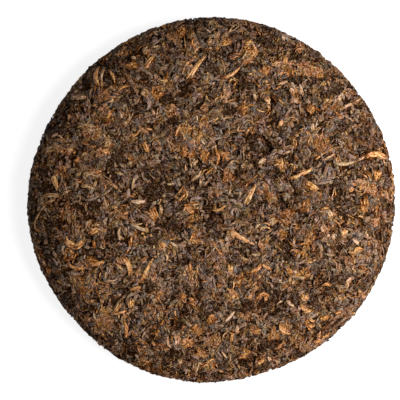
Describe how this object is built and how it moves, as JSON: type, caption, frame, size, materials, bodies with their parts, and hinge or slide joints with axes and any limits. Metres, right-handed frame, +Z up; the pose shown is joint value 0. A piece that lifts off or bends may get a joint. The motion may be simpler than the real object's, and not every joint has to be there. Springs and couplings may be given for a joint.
{
  "type": "ripe pu-erh tea cake",
  "caption": "Round pressed cake of dark ripe tea leaf with a domed face, a rounded rim and a shallow hollow in its flat back.",
  "frame": {"origin": "centre of the cake's box at the ground, under the middle of the flat back", "axes": "+Z up through the domed face; +X to the right and +Y to the top of the face as pictured"},
  "size_m": [0.2, 0.1988, 0.0233],
  "materials": {
    "pressed_leaf": "dry pressed tea leaf: matt dark brown twisted strips with tan and golden tips"
  },
  "bodies": {
    "root": {"tea_cake": "pressed_leaf"}
  },
  "joints": []
}
